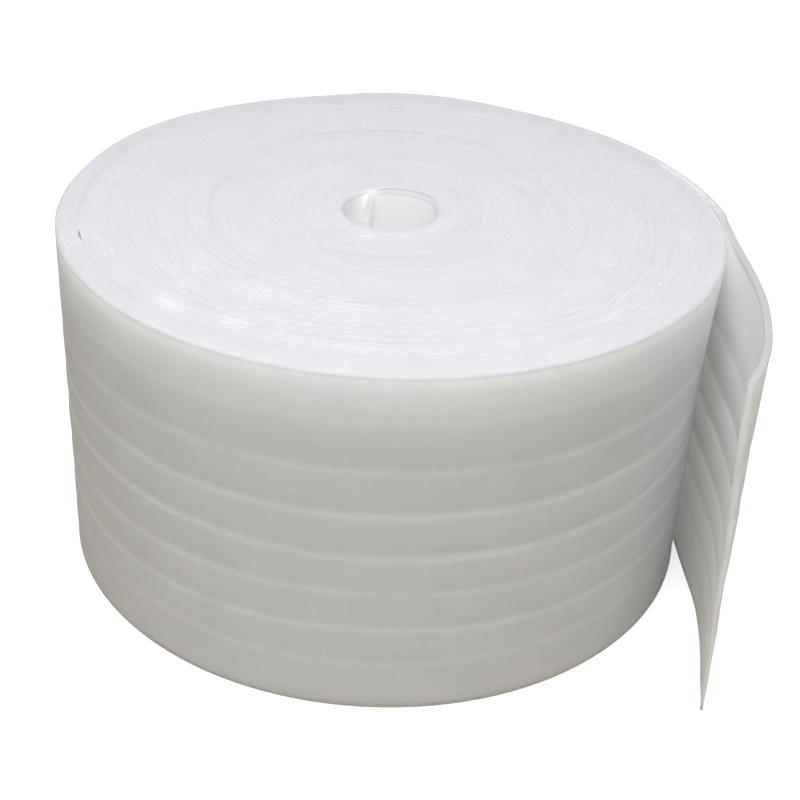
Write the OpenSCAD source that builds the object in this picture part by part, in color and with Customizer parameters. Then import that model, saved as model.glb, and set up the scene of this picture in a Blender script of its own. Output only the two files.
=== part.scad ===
// One long sheet of foam wrap, wound on a shaft and stood on its end.
// The shaft has been drawn out, so the middle is an open hole.
// The inner end is creased over where the shaft's slot held it.
// The outer end leaves the roll and stands away from it as a loose tail.

/* [Sheet] */
// Width of the sheet, which is the height of the standing roll
sheet_w = 300; // [120:1:600]
// Thickness of the sheet
sheet_t = 5.7; // [4:0.1:10]

/* [Winding] */
// Diameter of the hole left by the winding shaft, now that the foam has sprung back a little
hole_d = 78; // [60:0.2:160]
// Full turns of the sheet round the hole, up to where the outer end begins
turns = 38; // [8:1:42]
// Air between one turn and the next
turn_gap = 0.4; // [0.3:0.1:2]
// Half turns over which a rim's top edge comes up to its full height
soft_half_turns = 6; // [2:1:10]
// How far the outermost turn's top edge is pressed down
outer_rim_drop = 3; // [0:0.5:8]
// How far the innermost turn's top edge is pressed down
inner_rim_drop = 3; // [0:0.5:8]
// Radius of the worn outer corners on the outermost turn and the tail
rim_round = 2.5; // [1:0.1:3.5]

/* [Valleys] */
// Height of the lowest valley above the bottom edge
first_valley = 16; // [8:1:60]
// Distance from the lowest valley to the next one
valley_step = 30.4; // [20:0.2:80]
// How much more each valley is set apart than the one below it
valley_growth = 1.54; // [0:0.02:3]
// Width of a valley
valley_w = 8; // [3:0.5:14]
// Depth of a valley
valley_d = 0.8; // [0.2:0.1:1.2]
// Plain margin under the top edge
valley_margin = 24; // [10:1:60]

/* [Tail] */
// Angle round the roll at which the tail leaves it, from the +X axis
tail_angle = 6; // [0:1:60]
// Length of the tail's straight stretch
tail_straight = 135; // [20:1:300]
// Radius to which the end of the tail curls
tail_curl_r = 260; // [120:5:600]
// Angle through which the end of the tail curls
tail_curl = 33.4; // [5:0.1:60]

/* [Inner end] */
// Angle round the hole from the tail's root to the crease
crease_angle = 110; // [95:1:150]
// Radius of the crease inside the fold
crease_r = 2.1; // [1:0.1:6]
// Angle through which the crease turns the sheet
crease_fold = 61; // [45:1:80]
// Length of the flap that crosses the hole
flap_l = 56; // [20:1:58]

/* [Hidden] */
$fn = 96;
pitch = sheet_t + turn_gap;
first_r = hole_d / 2 + sheet_t / 2;
last_half = 2 * turns - 1;
outer_r = first_r + turns * pitch;
fold_r = crease_r + sheet_t / 2;
valley_r = (valley_w * valley_w / 4 + valley_d * valley_d) / (2 * valley_d);
corner_r = min(rim_round, 0.6 * sheet_t);
inner_r = first_r - pitch / 2;
arc_steps = 8;
outside = 1;
inside = -1;

// Share of a rim's full drop that is left after a number of half turns
function soft_share(n) = n < soft_half_turns ? pow(1 - n / soft_half_turns, 2) : 0;

// Height of the sheet on one half turn, counted from the hole
function edge_height(half) =
    sheet_w - inner_rim_drop * soft_share(half) - outer_rim_drop * soft_share(last_half - half);

// Height of a valley above the bottom edge, counted from the lowest
function valley_z(n) = first_valley + n * valley_step + valley_growth * n * (n - 1) / 2;

// Points along an arc in plan, its first one left out
function arc(centre, radius, from, to) = [
    for (n = [1 : arc_steps])
        let (a = from + (to - from) * n / arc_steps)
        centre + radius * [cos(a), sin(a)]
];

// Plan of one face of the sheet's inner end, from a quarter turn on:
// the rest of the first turn, the crease to the left and the flap that crosses the hole
function inner_face(side) =
    let (
        face_r = inner_r + side * sheet_t / 2,
        face_fold_r = fold_r + side * sheet_t / 2,
        fold_centre = (inner_r - fold_r) * [cos(crease_angle), sin(crease_angle)],
        turned = crease_angle + crease_fold,
        flap_start = fold_centre + face_fold_r * [cos(turned), sin(turned)]
    )
    concat(
        [[0, face_r]],
        arc([0, 0], face_r, 90, crease_angle),
        arc(fold_centre, face_fold_r, crease_angle, turned),
        [flap_start + flap_l * [-sin(turned), cos(turned)]]
    );

// The same points from the last to the first
function reversed(points) = [for (n = [len(points) - 1 : -1 : 0]) points[n]];

// Section across the sheet: its thickness lies along X, about zero, and its width along Y
module plain_section(height) {
    translate([-sheet_t / 2, 0]) square([sheet_t, height]);
}

// Section of the sheet where it can be seen, with its corners worn round on one face
// and shallow valleys in the faces that show
module worn_section(height, worn_face, valley_faces) {
    difference() {
        union() {
            translate([worn_face == outside ? -sheet_t / 2 : corner_r - sheet_t / 2, 0])
                square([sheet_t - corner_r, height]);
            translate([-sheet_t / 2, corner_r]) square([sheet_t, height - 2 * corner_r]);
            for (y = [corner_r, height - corner_r]) {
                translate([worn_face * (sheet_t / 2 - corner_r), y]) circle(r = corner_r);
            }
        }
        for (face = valley_faces, n = [0 : ceil(sheet_w / valley_step)]) {
            if (valley_z(n) < sheet_w - valley_margin) {
                translate([face * (sheet_t / 2 + valley_r - valley_d), valley_z(n)]) circle(r = valley_r);
            }
        }
    }
}

// Section of one half turn: only the last ones lie open to view
module wound_section(half) {
    if (half < last_half - 1) {
        plain_section(edge_height(half));
    } else {
        worn_section(edge_height(half), outside, [outside]);
    }
}

// A revolve through half a turn. Even half turns lie on the -Y side about the roll's axis.
// Odd ones lie on the +Y side about an axis half a pitch along X, so the sheet runs on
// smoothly and every full turn comes out one pitch larger.
module half_revolve(half) {
    is_odd = half % 2;
    translate([is_odd * pitch / 2, 0, 0]) rotate_extrude(angle = 180, start = 180 - is_odd * 180) children();
}

// Every second half turn from the first one given to the last, all about one axis
module half_turns(first) {
    half_revolve(first)
        for (half = [first : 2 : last_half]) {
            translate([first_r + half * pitch / 2, 0]) wound_section(half);
        }
}

// The stretch inside the first turn, its crease and the flap that crosses the hole
module inner_end() {
    height = edge_height(0);
    translate([pitch / 2, 0, 0]) {
        rotate_extrude(angle = 90) translate([inner_r, 0]) plain_section(height);
        linear_extrude(height) polygon(concat(inner_face(outside), reversed(inner_face(inside))));
    }
}

// The tail runs on from the end of the last half turn, straight at first, and then curls
// round to the right of its path. Its outer face is on the left.
module tail() {
    height = edge_height(last_half);
    rotate([0, 0, 180]) translate([-outer_r, tail_straight, 0]) {
        rotate([90, 0, 0]) linear_extrude(tail_straight) worn_section(height, inside, [inside, outside]);
        translate([tail_curl_r, 0, 0])
            rotate_extrude(angle = tail_curl, start = 180 - tail_curl)
                translate([tail_curl_r, 0]) worn_section(height, outside, [inside, outside]);
    }
}

module foam_roll() {
    color([0.95, 0.95, 0.96]) rotate([0, 0, tail_angle]) {
        inner_end();
        half_turns(0);
        half_turns(1);
        tail();
    }
}

foam_roll();
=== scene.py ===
import math

import bpy

from mathutils import Matrix


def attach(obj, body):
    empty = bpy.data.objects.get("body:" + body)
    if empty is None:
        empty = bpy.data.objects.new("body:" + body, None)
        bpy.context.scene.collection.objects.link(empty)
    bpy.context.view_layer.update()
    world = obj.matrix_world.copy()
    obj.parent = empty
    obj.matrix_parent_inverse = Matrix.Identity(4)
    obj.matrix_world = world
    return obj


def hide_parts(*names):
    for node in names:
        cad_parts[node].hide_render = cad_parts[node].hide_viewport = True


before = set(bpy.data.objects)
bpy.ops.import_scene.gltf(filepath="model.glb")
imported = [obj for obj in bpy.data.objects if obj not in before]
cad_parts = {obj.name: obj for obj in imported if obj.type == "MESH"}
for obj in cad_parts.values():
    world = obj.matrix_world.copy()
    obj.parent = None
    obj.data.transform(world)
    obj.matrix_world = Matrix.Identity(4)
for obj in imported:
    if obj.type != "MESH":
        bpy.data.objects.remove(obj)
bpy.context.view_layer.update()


camera_data = bpy.data.cameras.new("camera")
camera_data.lens = 67.957
camera_data.sensor_width = 36.0
camera = bpy.data.objects.new("camera", camera_data)
camera_place = (0.01596, -1.14831, 0.81773)
look_down = math.radians(31.456)
lean = math.radians(2.969)
camera.matrix_world = (
    Matrix.Translation(camera_place)
    @ Matrix.Rotation(math.pi / 2 - look_down, 4, "X")
    @ Matrix.Rotation(lean, 4, "Z")
)
bpy.context.scene.collection.objects.link(camera)
bpy.context.scene.camera = camera


# Foam wrap sheet
# One sheet of blown polyethylene foam, 300 mm wide and nearly 6 mm thick. It is wound 38 times
# round a shaft that was then drawn out, so its inner end is creased and crosses the hole,
# and its outer end stands away from the roll as a loose tail.
from mathutils import noise

# Sizes in millimetres. The turns touch, so the sheet fills all but 0.04 mm of a turn's pitch.
WIDTH = 300.0
THICK = 6.06
HALF = THICK / 2
PITCH = 6.1
TURNS = 38
# Middle of the sheet's thickness where the tail leaves the roll, and the direction of that place
ROOT_R = 273.65
TAIL_ANGLE = math.radians(6)
TAIL_STRAIGHT = 135.0
TAIL_CURL_R = 260.0
TAIL_CURL = math.radians(33.4)
CREASE_ANGLE = math.radians(110)
CREASE_R = 4.95
CREASE_FOLD = math.radians(61)
FLAP = 48.0
# Heights of the pressed valleys round the outside
VALLEYS = [16.0, 46.4, 78.3, 111.8, 146.8, 183.4, 221.5, 261.1]
# Turns from the tail's root to the crease
ALL_TURNS = TURNS + CREASE_ANGLE / (2 * math.pi)
# Stations along each stretch of the sheet. On the wound part they lie closer together further in.
CURL_STEPS = 44
STRAIGHT_STEPS = 36
CREASE_STEPS = 10
FLAP_STEPS = 20
WOUND_STEP = 0.8


def wander(a, seed, b=0.37):
    """A smooth wander between -1 and 1, the same on every run."""
    return max(-1.0, min(1.0, 1.5 * noise.noise((a, b, 7.3 * seed))))


def bump(x, middle, half_width):
    """1 at the middle, falling smoothly to 0 at half a width to either side."""
    t = (x - middle) / half_width
    return (1 - t * t) ** 2 if abs(t) < 1 else 0.0


def eased(x):
    """A smooth step from 0 to 1."""
    x = max(0.0, min(1.0, x))
    return x * x * (3 - 2 * x)


def turned_apart(a, b):
    """Degrees between two directions."""
    return abs((a - b + 180) % 360 - 180)


def sheet_route():
    """Stations along the sheet's middle in plan, from the tail's end to the flap's end. Each has
    its place, the way out of the roll there, the turns still outside it and the length of sheet
    from the tail's root, which is less than 0 on the tail."""
    stations = []
    middle = (ROOT_R - TAIL_CURL_R, -TAIL_STRAIGHT)
    for n in range(CURL_STEPS):
        a = TAIL_CURL * (n / CURL_STEPS - 1)
        out = (math.cos(a), math.sin(a))
        x, y = middle[0] + TAIL_CURL_R * out[0], middle[1] + TAIL_CURL_R * out[1]
        stations.append((x, y, *out, 0.0, TAIL_CURL_R * a - TAIL_STRAIGHT))
    for n in range(STRAIGHT_STEPS):
        y = TAIL_STRAIGHT * (n / STRAIGHT_STEPS - 1)
        stations.append((ROOT_R, y, 1.0, 0.0, 0.0, y))
    # Half turns lie by turns about the roll's axis and about one half a pitch beside it
    end = 2 * math.pi * ALL_TURNS
    a = 0.0
    along = 0.0
    while a < end:
        half_turns = int(a / math.pi + 1e-9)
        r = ROOT_R - PITCH / 2 * (half_turns + 1)
        out = (math.cos(a), math.sin(a))
        x = r * out[0] + (0 if half_turns % 2 else PITCH / 2)
        stations.append((x, r * out[1], *out, a / (2 * math.pi), along))
        step = WOUND_STEP / math.sqrt(r)
        left = (half_turns + 1) * math.pi - a
        step = min(step, left) if left > 1e-6 else step
        a += step
        along += step * r
    r = ROOT_R - PITCH / 2 * (2 * TURNS + 1)
    out = (math.cos(end), math.sin(end))
    middle = (PITCH / 2 + (r - CREASE_R) * out[0], (r - CREASE_R) * out[1])
    for n in range(CREASE_STEPS + 1):
        turned = CREASE_FOLD * n / CREASE_STEPS
        out = (math.cos(end + turned), math.sin(end + turned))
        x, y = middle[0] + CREASE_R * out[0], middle[1] + CREASE_R * out[1]
        stations.append((x, y, *out, ALL_TURNS, along + CREASE_R * turned))
    along = stations[-1][5]
    for n in range(1, FLAP_STEPS + 1):
        past = FLAP * n / FLAP_STEPS
        stations.append((x - past * out[1], y + past * out[0], *out, ALL_TURNS, along + past))
    return stations


# Width and depth of the rounding at the roll's rim and at the hole's rim
RIM_ROUNDING = (4.0, 2.4)
HOLE_ROUNDING = (4.0, 2.2)
# Half the width of a low ring on the top
RING_WIDTH = 6.0
# Rings on the top where turns were wound low, as (radius, direction, degrees each way, depth)
LOW_RINGS = [
    (225, 180, 75, 0.7), (225, 0, 50, 0.5), (243, -90, 60, 0.4), (221, -95, 70, 0.6), (201, -85, 70, 0.4),
    (176, 90, 80, 0.5), (142, 10, 60, 0.5), (124, 0, 70, 0.6), (162, 5, 60, 0.4), (112, 175, 70, 0.6),
    (200, 170, 60, 0.4), (235, 185, 50, 0.4), (64, 5, 70, 0.5), (90, -80, 70, 0.5), (150, 200, 60, 0.5),
]
# Places where two turns stand apart a little, as (radius, direction, degrees each way, width)
NICKS = [
    (255, -162, 3.2, 0.9), (56, -107, 5.0, 0.8), (178, -120, 1.2, 0.7), (238, -130, 1.0, 0.7),
    (228, -117, 1.0, 0.7),
]


def rounded(q, across, down):
    """Drop of a rounded rim at a distance q inside it."""
    q = max(0.0, q)
    return down * (1 - math.sqrt(max(0.0, 1 - (1 - q / across) ** 2))) if q < across else 0.0


def groove(turn):
    """Depth of the groove between a turn's inner edge and the next turn, which varies along it."""
    return 0.14 + 0.75 * max(0.0, wander(2.6 * turn, 3) + 0.05) ** 1.3


def low_ring(r, direction):
    """How far the winding is pressed down at one place on the top."""
    drop = 0.0
    for ring_r, ring_at, spread, depth in LOW_RINGS:
        apart = turned_apart(direction, ring_at)
        if abs(r - ring_r) < RING_WIDTH and apart < spread:
            drop += depth * bump(r, ring_r, RING_WIDTH) * bump(apart, 0, spread)
    return drop


def inside_rims(turn, o):
    """How far a point of the top lies inside the roll's rim and inside the hole's rim."""
    inner = ALL_TURNS - turn
    layers_out = 0.0 if turn < 1 else math.floor(turn) - 1 + eased((turn % 1) / 0.1)
    layers_in = 0.0 if inner < 1 else math.floor(inner) - 1 + eased((inner % 1) / 0.1)
    return layers_out * PITCH + HALF - o, layers_in * PITCH + HALF + o


def top_point(station, side):
    """A point of the top edge at a share of the thickness to the outside (1) or the inside (-1).
    It has its way out, its height, its painted glow, which stands in for light coming through the foam to
    it, and its painted shade, by which its colour is darkened."""
    x, y, _, _, turn, along = station
    o = side * HALF
    flank = abs(side)
    # A free edge is rounded on both sides
    free_edge = 1.5 * (1 - math.sqrt(max(0.0, 1 - max(0.0, (flank - 0.45) / 0.55) ** 2)))
    if turn >= ALL_TURNS:
        # The flap lies a little low, and its free end lower still
        to_end = SHEET_END - along
        # The flap's top gets a faint painted glow and is drawn a little darker, which is painted shade.
        return o, WIDTH - 1.0 - 0.6 * free_edge - 3.0 * max(0.0, 1 - to_end / 12) ** 2, 0.05, 0.96
    from_rim, from_hole = inside_rims(turn, o)
    # No turn is wound at quite the same height as the next, and shallow grooves lie between them
    height = WIDTH - 0.15 + 0.1 * wander(1.9 * turn, 1) + 0.15 * wander(0.31 * turn, 2)
    depth = groove(turn) if side < 0 else groove(turn - 1)
    if turn < 1 and side > 0:
        depth = 0.0
    low = low_ring(math.hypot(x, y) + o, math.degrees(math.atan2(y, x) + TAIL_ANGLE))
    z = height - depth * (0.1 * eased(flank / 0.8) + 0.12 * eased((flank - 0.8) / 0.2)) - low
    z -= 0.08 if flank > 0.99 else 0.0
    z -= rounded(from_rim, *RIM_ROUNDING) + rounded(from_hole, *HOLE_ROUNDING)
    # A painted glow near the roll's rim and near the hole's rim stands in for light coming through the foam.
    # The faces between turns get none.
    painted_glow = 0.012 * max(0.0, 1 - from_rim / 24) ** 2
    painted_glow = painted_glow * min(1.0, turn / 0.15) + 0.01 * max(0.0, 1 - from_hole / 15)
    if flank > 0.99 and not (side > 0 and turn < 1) and along >= 0:
        painted_glow = 0.0
    # Grooves, low rings and the lap of the innermost stretch under the next turn gather shade
    white = 1 - 0.03 * low
    if not (turn < 1 and side > 0) and not (turn > ALL_TURNS - 1 and side < 0):
        white -= (0.02 + 0.1 * depth) * eased((flank - 0.6) / 0.4)
    white -= 0.05 * eased((turn - ALL_TURNS + 0.3) / 0.12)
    white -= 0.2 * eased((side - 0.1) / 0.5) * eased((turn - ALL_TURNS + 0.3) / 0.12)
    white -= 0.14 * eased((-side - 0.4) / 0.4) * bump(turn, ALL_TURNS - 1.1, 0.2)
    if along < 0:
        # The tail's edge comes out of the rim's rounding and stands level
        loose = 1 - math.exp(along / 35)
        z += loose * (WIDTH - 2.6 - free_edge + 0.5 * wander(along / 45, 9) - z)
        # The tail's top edge is drawn darker, which is painted shade. It is darkest a little way out from
        # the root and less dark towards its end.
        white = 1 - 0.22 * (1 - math.exp(along / 12)) + 0.13 * (1 - math.exp(along / 90))
    return o, z, painted_glow, white


# How strongly each valley shows, from the lowest up
VALLEY_SHARES = [0.15, 0.4, 0.7, 0.75, 1.0, 1.0, 0.6, 0.2]
# Half the width of a valley's pale line, and of the wide dip that it lies in
LINE_WIDTH = 6.0
DIP_WIDTH = 15.0


def valleys_at(z, along, half_width):
    """How far a height lies in one of the valleys, from 0 outside them to about 1 in the middle.
    The valleys wander a little up and down, and in strength."""
    share = 0.0
    for n, height in enumerate(VALLEYS):
        if abs(z - height) < half_width + 3:
            middle = height - 1.2 + 1.3 * wander(along / 150, 12 + n) + 0.5 * wander(along / 18, 22 + n)
            strength = VALLEY_SHARES[n] * (1.0 + 0.35 * wander(along / 60, 32 + n))
            share += strength * bump(z, middle, half_width)
    return share


def outer_point(station, z):
    """A point of the outer face, where it lies open to view. A pale line along each valley is a painted
    highlight, with painted shade in a band beside it, and a painted glow near the top edge, faint over the
    tail, stands in for light coming through the foam."""
    turn, along = station[4:]
    line = valleys_at(z, along, LINE_WIDTH)
    depth = 0.25 * (1 + wander(along / 70, 11, z / 55)) + 0.3 * line + 0.35 * valleys_at(z, along, DIP_WIDTH)
    # Painted glow near the top edge, and faintly over the tail
    painted_glow = (0.13 * eased((z - 235) / 68) + 0.06 * eased((z - 284) / 14)) * eased((1.01 - turn) / 0.07)
    if along < 0:
        painted_glow += (0.03 - 0.5 * painted_glow) * (1 - math.exp(along / 60))
    patchy = 1 + 0.35 * wander(along / 4, 41, z / 3)
    # Painted highlight along each valley, and painted shade in a band beside it
    painted_shade_light_and_tone = 1 + 0.11 * line * patchy - 0.02 * valleys_at(z + 8, along, 7)
    return HALF - depth, z, painted_glow, painted_shade_light_and_tone


def inner_point(station, z):
    """A point of the tail's inner face, where the valleys show as broader flutes."""
    along = station[5]
    line = valleys_at(z, along - 30, LINE_WIDTH)
    depth = 0.25 * (1 + wander(along / 70, 51, z / 55)) + 0.4 * line
    depth += 1.2 * valleys_at(z, along - 30, DIP_WIDTH)
    # A painted glow stands in for light coming through the tail. It is stronger near its root and, further
    # out, towards its top edge.
    painted_glow = 0.065 * math.exp(along / 65) + 0.085 * eased((z - 190) / 110) * (1 - math.exp(along / 60))
    # A pale line along each valley is a painted highlight, and a darker band beside it is painted shade. A
    # slight random tone lies over the face as well.
    painted_shade_light_and_tone = 1 + 0.08 * line - 0.06 * valleys_at(z - 9, along, 8) + 0.02 * wander(z / 9, 52, along / 90)
    return depth - HALF, z, painted_glow, painted_shade_light_and_tone


# Heights at which an open face has points, close together in the valleys and near the top edge
NEAR_VALLEY = [-15.0, -9.0, -5.5, -3.6, -2.0, -0.6, 0.8, 2.2, 3.8, 6.0, 10.0]
LEVELS = sorted({round(v + dz, 2) for v in VALLEYS for dz in NEAR_VALLEY if v + dz > 2.5}
                | {276.0, 280.0, 284.0, 287.5, 291.0, 294.0}, reverse=True)
# Shares of the thickness at which the top edge has points, between two turns and at the open rim
EDGE_SHARES = [-1.0, -0.96, -0.8, -0.4, 0.4, 0.8, 0.96, 1.0]
RIM_SHARES = [-1.0, -0.96, -0.85, -0.5, -0.1, 0.25, 0.5, 0.68, 0.82, 0.92, 0.98, 1.0]
# Corners and middle of the bottom edge, as (share of the thickness, height)
BOTTOM = [(1.0, 1.2), (0.8, 0.3), (0.0, 0.0), (-0.8, 0.3), (-1.0, 1.2)]
# Depth below the top edge at which a wall inside a gap begins
WALL_TOP = 2.0
# Painted glow, which stands in for light coming through the foam to the hole's wall, to the crease and the
# flap's right face, and to the flap's left face
HOLE_PAINTED_GLOW = 0.18
CREASE_PAINTED_GLOW = 0.07
FLAP_PAINTED_GLOW = 0.02
# Walls inside the gaps get painted shade: they are drawn darker, so that they throw no light up out of them.
# The flap's left face gets a lighter painted shade. The gap of the outermost turns is left as it is, as the
# eye sees into it beside the tail.
GAP_PAINTED_SHADE = 0.6
FLAP_PAINTED_SHADE = 0.9
OPEN_GAP_TURNS = 1.4


def section_at(station):
    """Points round the sheet's section at a station. Each has its way out from the sheet's middle, its
    height, its painted glow and the painted shade and light of its colour."""
    turn, along = station[4:]
    shows = turn <= 1.01
    inner_painted_glow, outer_painted_glow = 0.0, 0.0
    inner_painted_shade, outer_painted_shade = 1.0, 1.0
    if turn >= ALL_TURNS:
        inner_painted_glow, outer_painted_glow = CREASE_PAINTED_GLOW, FLAP_PAINTED_GLOW
        outer_painted_shade = FLAP_PAINTED_SHADE
    elif turn > ALL_TURNS - 1:
        inner_painted_glow = HOLE_PAINTED_GLOW
        outer_painted_shade = GAP_PAINTED_SHADE
    elif turn > OPEN_GAP_TURNS:
        inner_painted_shade, outer_painted_shade = GAP_PAINTED_SHADE, GAP_PAINTED_SHADE
    inner_top = top_point(station, -1.0)
    outer_top = top_point(station, 1.0)
    ring = [(-HALF, inner_top[1] - WALL_TOP, inner_painted_glow, inner_painted_shade)]
    ring += [top_point(station, side) for side in (RIM_SHARES if shows else EDGE_SHARES)]
    if shows:
        ring += [outer_point(station, z) for z in LEVELS]
    else:
        ring.append((HALF, outer_top[1] - WALL_TOP, outer_painted_glow, outer_painted_shade))
    lift = 0.25 + 0.25 * wander(along / 120, 5)
    ring += [(HALF * side, z + lift, 0.0, 1.0) for side, z in BOTTOM]
    if along < 0:
        ring += [inner_point(station, z) for z in reversed(LEVELS)]
    return ring


# How far the outside stands out all round, and places where it is out of round, as (direction,
# degrees each way, height)
LOOSENESS = 1.9
BULGES = [(65, 100, -1.9), (86, 22, 6.3), (144, 26, 4.6), (111, 15, -1.4), (60, 16, -1.0)]
# The top flares out round the tail's root, as (direction, degrees each way, height)
FLARE = (-6, 62, 4.5)
FLARE_FROM = 190.0
# How far the sheet's top stands off at the tail's root, and how far the outer turns lean in
STAND_OFF = 3.0
LEAN_IN = 0.5
# How far the tail leans in at its foot and at its top, how far the foot of its free end swings out
# again, and how far its top bellies out on the way
FOOT_LEAN = -8.0
TOP_LEAN = -3.4
FOOT_SWING = 16.0
BELLY = 3.4
# Share of its thickness that the foot of the free end is pinched away
PINCH = 0.62


def swelling(direction, z):
    """How far the roll stands out from its true winding at a direction round it and a height."""
    swell = LOOSENESS
    for at, spread, height in BULGES:
        swell += height * bump(turned_apart(direction, at), 0, spread)
    at, spread, height = FLARE
    rise = max(0.0, (z - FLARE_FROM) / (WIDTH - FLARE_FROM)) ** 1.5
    return swell + height * rise * bump(turned_apart(direction, at), 0, spread)


def nick(r, o, direction, z):
    """How far a small gap between two turns draws a point back."""
    opening = 0.0
    for nick_r, nick_at, spread, width in NICKS:
        apart = turned_apart(direction, nick_at)
        if apart < spread and abs(r + o - nick_r) < PITCH / 2:
            opening += width * bump(apart, 0, spread) * max(0.0, (z - 280) / 20)
    return -opening * o / HALF


def place(station, o, z):
    """A point of the sheet in the frame's metres, with the unevenness of a soft roll."""
    x, y, out_x, out_y, turn, along = station
    r = math.hypot(x, y)
    direction = math.degrees(math.atan2(y, x) + TAIL_ANGLE)
    high = max(0.0, (z - 250) / 50) ** 2
    shift = o
    if along >= 0:
        # The roll is out of round, more so further out. Its outer turns lean in at the top, and the
        # stretch that ends at the tail's root stands off.
        shift += min(1.0, (r + o) / ROOT_R) ** 2 * swelling(direction, z) + nick(r, o, direction, z)
        shift -= LEAN_IN * high * max(0.0, 1 - turn / 3)
        shift += STAND_OFF * z / WIDTH * max(0.0, 1 - turn / 0.09) ** 2
    else:
        # The tail leans in, and the foot of its free end swings out again
        length = -along
        low_lean = FOOT_LEAN * (1 - math.exp(-length / 70))
        low_lean += FOOT_SWING * max(0.0, (length - 165) / 122) ** 2.2
        high_lean = TOP_LEAN * (1 - math.exp(-length / 90))
        shift += low_lean + (high_lean - low_lean) * z / WIDTH
        at_root = swelling(math.degrees(TAIL_ANGLE), z) + STAND_OFF * z / WIDTH
        shift += at_root * math.exp(-length / 90)
        # It bellies out at the top, waves, and is pinched thin at the foot of its free end
        shift += BELLY * z / WIDTH * bump(length, 100, 100)
        shift += 1.3 * bump(length, 287, 120) * wander(z / 60, 8, along / 130)
        shift -= PINCH * bump(length, 287, 40) * max(0.0, 1 - z / 170) * o
        shift -= LEAN_IN * high * math.exp(-length / 35)
    px = x + shift * out_x
    py = y + shift * out_y
    c, s = math.cos(TAIL_ANGLE), math.sin(TAIL_ANGLE)
    return ((c * px - s * py) / 1000, (s * px + c * py) / 1000, z / 1000)


stations = sheet_route()
SHEET_END = stations[-1][5]
points = []
painted_glows = []
shade_light_and_tone_values = []
faces = []
rings = []
for station in stations:
    section = section_at(station)
    rings.append((len(points), len(section)))
    points += [place(station, o, z) for o, z, _, _ in section]
    painted_glows += [painted_glow for _, _, painted_glow, _ in section]
    shade_light_and_tone_values += [white for _, _, _, white in section]
# Sections with the same number of points join up by fours. Where the number changes, triangles
# take the shorter way across.
for (start, count), (next_start, next_count) in zip(rings, rings[1:]):
    if count == next_count:
        for n in range(count):
            m = (n + 1) % count
            faces.append((start + n, start + m, next_start + m, next_start + n))
        continue
    a, b = 0, 0
    while a < count or b < next_count:
        here, there = points[start + a % count], points[next_start + b % next_count]
        on_here = math.dist(points[start + (a + 1) % count], there) if a < count else math.inf
        on_there = math.dist(points[next_start + (b + 1) % next_count], here) if b < next_count else math.inf
        if on_here <= on_there:
            faces.append((start + a % count, start + (a + 1) % count, next_start + b % next_count))
            a += 1
        else:
            faces.append((start + a % count, next_start + (b + 1) % next_count, next_start + b % next_count))
            b += 1
start, count = rings[0]
faces.append(tuple(start + n for n in reversed(range(count))))
start, count = rings[-1]
faces.append(tuple(start + n for n in range(count)))

mesh = bpy.data.meshes.new("foam_wrap_sheet")
mesh.from_pydata(points, [], faces)
mesh.update()
mesh.shade_smooth()
mesh.attributes.new("painted_glow", "FLOAT", "POINT").data.foreach_set("value", painted_glows)
mesh.attributes.new("painted_shade_light_and_tone", "FLOAT", "POINT").data.foreach_set("value", shade_light_and_tone_values)
sheet = bpy.data.objects.new("foam_wrap_sheet", mesh)
bpy.context.scene.collection.objects.link(sheet)


def from_hex(colour):
    """A colour written as sRGB hex, as the linear values that shaders take."""
    parts = [int(colour[n:n + 2], 16) / 255 for n in (1, 3, 5)]
    return (*[c / 12.92 if c <= 0.04045 else ((c + 0.055) / 1.055) ** 2.4 for c in parts], 1.0)


def add_node(tree, kind, settings=None, values=None, links=None):
    """Adds a node, sets it up and links its inputs from other nodes' outputs."""
    node = tree.nodes.new(kind)
    for name, value in (settings or {}).items():
        setattr(node, name, value)
    for name, value in (values or {}).items():
        node.inputs[name].default_value = value
    for name, output in (links or {}).items():
        tree.links.new(output, node.inputs[name])
    return node


# The foam is white right through and matt, so the eye finds no highlight on it. Light goes some
# way into it, which softens every edge, and its skin shows closed cells that keep the large plain
# side from looking like plastic or paint.
SKIN_ROUGHNESS = 0.85
FOAM_IOR = 1.45
LIGHT_DEPTH = 0.018
# A slight unevenness of the white, in patches about 40 mm across
PATCH_WIDTH = 0.038
# Real cells are about 1 mm across. They are drawn 2.4 mm across, as the picture shows no finer ones.
CELL_WIDTH = 0.0024
CELL_HEIGHT = 0.0006
foam = bpy.data.materials.new("white polyethylene foam, matt cells")
foam.use_nodes = True
tree = foam.node_tree
tree.nodes.clear()
where = add_node(tree, "ShaderNodeTexCoord")
clouds = add_node(tree, "ShaderNodeTexNoise", values={"Scale": 1 / PATCH_WIDTH, "Detail": 2.0},
                  links={"Vector": where.outputs["Object"]})
tint = add_node(tree, "ShaderNodeMix", {"data_type": "RGBA"}, links={"Factor": clouds.outputs["Fac"]})
tint.inputs[6].default_value = from_hex("#EBEBEB")
tint.inputs[7].default_value = from_hex("#F3F3F2")
cells = add_node(tree, "ShaderNodeTexVoronoi", {"feature": "F1"}, {"Scale": 1 / CELL_WIDTH},
                 {"Vector": where.outputs["Object"]})
bumpy = add_node(tree, "ShaderNodeBump", values={"Strength": 0.4, "Distance": CELL_HEIGHT},
                 links={"Height": cells.outputs["Distance"]})
# The colour is scaled by painted shade and light along the sheet: darker grooves, gap walls, low rings and
# edges, paler valley lines, and a slight random tone.
painted_shade_light_and_tone = add_node(tree, "ShaderNodeAttribute", {"attribute_name": "painted_shade_light_and_tone"})
colour = add_node(tree, "ShaderNodeVectorMath", {"operation": "SCALE"},
                  links={"Vector": tint.outputs[2], "Scale": painted_shade_light_and_tone.outputs["Fac"]})
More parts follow.
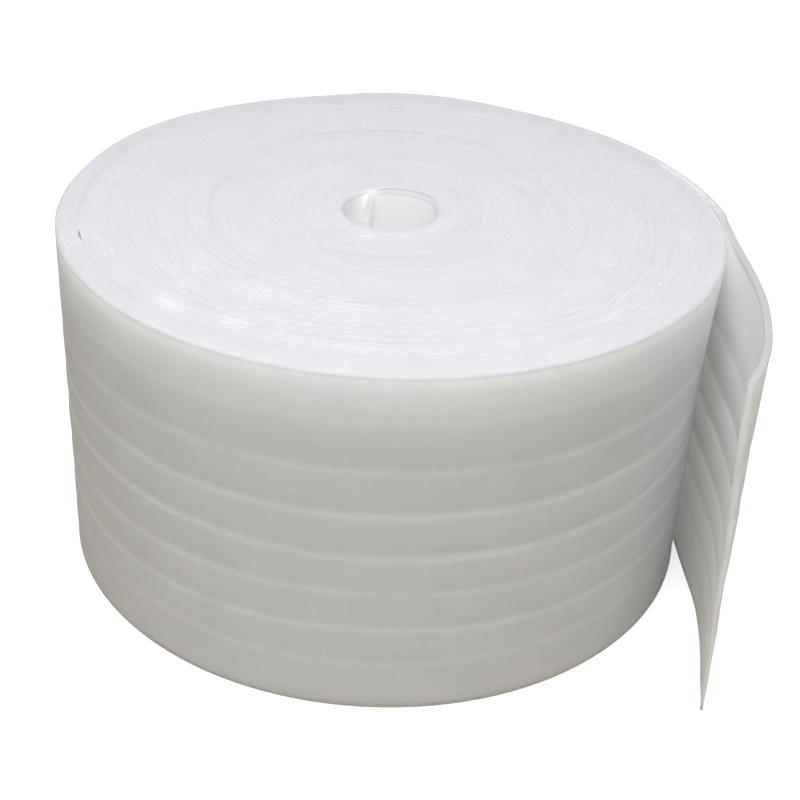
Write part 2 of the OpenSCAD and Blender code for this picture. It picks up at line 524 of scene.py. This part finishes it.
# The foam glows where the painted glow says. This is painted light, not a lamp, and it stands in for light
# coming through the foam at the rims, in the hole and on the tail.
painted_glow = add_node(tree, "ShaderNodeAttribute", {"attribute_name": "painted_glow"})
skin = add_node(
    tree, "ShaderNodeBsdfPrincipled", {"subsurface_method": "BURLEY"},
    {"Roughness": SKIN_ROUGHNESS, "IOR": FOAM_IOR, "Specular IOR Level": 0.25,
     "Subsurface Weight": 0.8, "Subsurface Radius": (1.0, 1.0, 1.0), "Subsurface Scale": LIGHT_DEPTH,
     "Emission Color": from_hex("#FFFFFF")},
    {"Base Color": colour.outputs["Vector"], "Normal": bumpy.outputs["Normal"],
     "Emission Strength": painted_glow.outputs["Fac"]})
out = add_node(tree, "ShaderNodeOutputMaterial", links={"Surface": skin.outputs["BSDF"]})
mesh.materials.append(foam)

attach(sheet, "root")
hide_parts("foam_roll")


# Floor
# A smooth white table top that runs on past the picture on every side.
floor_mesh = bpy.data.meshes.new("floor")
floor_mesh.from_pydata([(-8, -8, 0), (8, -8, 0), (8, 8, 0), (-8, 8, 0)], [], [(0, 1, 2, 3)])
floor = bpy.data.objects.new("floor", floor_mesh)
bpy.context.scene.collection.objects.link(floor)
# The laminate is plain white, so the eye rests on the roll, and takes only the roll's soft shadow.
# It is slightly warm in the light that it throws back on the roll.
table = bpy.data.materials.new("white table top, matt laminate")
table.use_nodes = True
tree = table.node_tree
tree.nodes.clear()
seen = add_node(tree, "ShaderNodeLightPath")
seen_by = add_node(tree, "ShaderNodeMath", {"operation": "MAXIMUM"},
                   links={0: seen.outputs["Is Camera Ray"], 1: seen.outputs["Is Glossy Ray"]})
shade = add_node(tree, "ShaderNodeMix", {"data_type": "RGBA"}, links={"Factor": seen_by.outputs[0]})
shade.inputs[6].default_value = from_hex("#BAB29E")
shade.inputs[7].default_value = from_hex("#F4F4F4")
lift = add_node(tree, "ShaderNodeMath", {"operation": "MULTIPLY"}, {1: 0.62}, {0: seen_by.outputs[0]})
glow = add_node(tree, "ShaderNodeEmission", links={"Strength": lift.outputs[0]})
laminate = add_node(tree, "ShaderNodeBsdfDiffuse", links={"Color": shade.outputs[2]})
surface = add_node(tree, "ShaderNodeAddShader",
                   links={0: laminate.outputs["BSDF"], 1: glow.outputs["Emission"]})
out = add_node(tree, "ShaderNodeOutputMaterial", links={"Surface": surface.outputs["Shader"]})
floor_mesh.materials.append(table)


# Light
# A soft lamp hangs close above the front of the roll, daylight comes from high in front,
# and a pale room fills in the rest.
world = bpy.data.worlds.new("pale room")
bpy.context.scene.world = world
world.use_nodes = True
tree = world.node_tree
tree.nodes.clear()
seen = add_node(tree, "ShaderNodeLightPath")
level = add_node(tree, "ShaderNodeMix", {"data_type": "FLOAT"}, {"A": 0.24, "B": 1.0},
                 {"Factor": seen.outputs["Is Camera Ray"]})
room = add_node(tree, "ShaderNodeBackground", values={"Color": from_hex("#FFF7E8")},
                links={"Strength": level.outputs[0]})
out = add_node(tree, "ShaderNodeOutputWorld", links={"Surface": room.outputs["Background"]})

lamp_data = bpy.data.lights.new("softbox", "AREA")
lamp_data.shape = "RECTANGLE"
lamp_data.size = 0.9
lamp_data.size_y = 0.7
lamp_data.color = from_hex("#EEF3FF")[:3]
lamp_data.energy = 3.9
lamp = bpy.data.objects.new("softbox", lamp_data)
lamp.matrix_world = Matrix.Translation((-0.06, -0.7, 1.2)) @ Matrix.Rotation(math.radians(20), 4, "X")
bpy.context.scene.collection.objects.link(lamp)

day_data = bpy.data.lights.new("daylight", "SUN")
day_data.color = from_hex("#EEF3FF")[:3]
day_data.energy = 1.62
day_data.angle = math.radians(50)
day = bpy.data.objects.new("daylight", day_data)
day.matrix_world = Matrix.Rotation(math.radians(-8), 4, "Z") @ Matrix.Rotation(math.radians(16), 4, "X")
bpy.context.scene.collection.objects.link(day)

bpy.context.scene.view_settings.view_transform = "Standard"
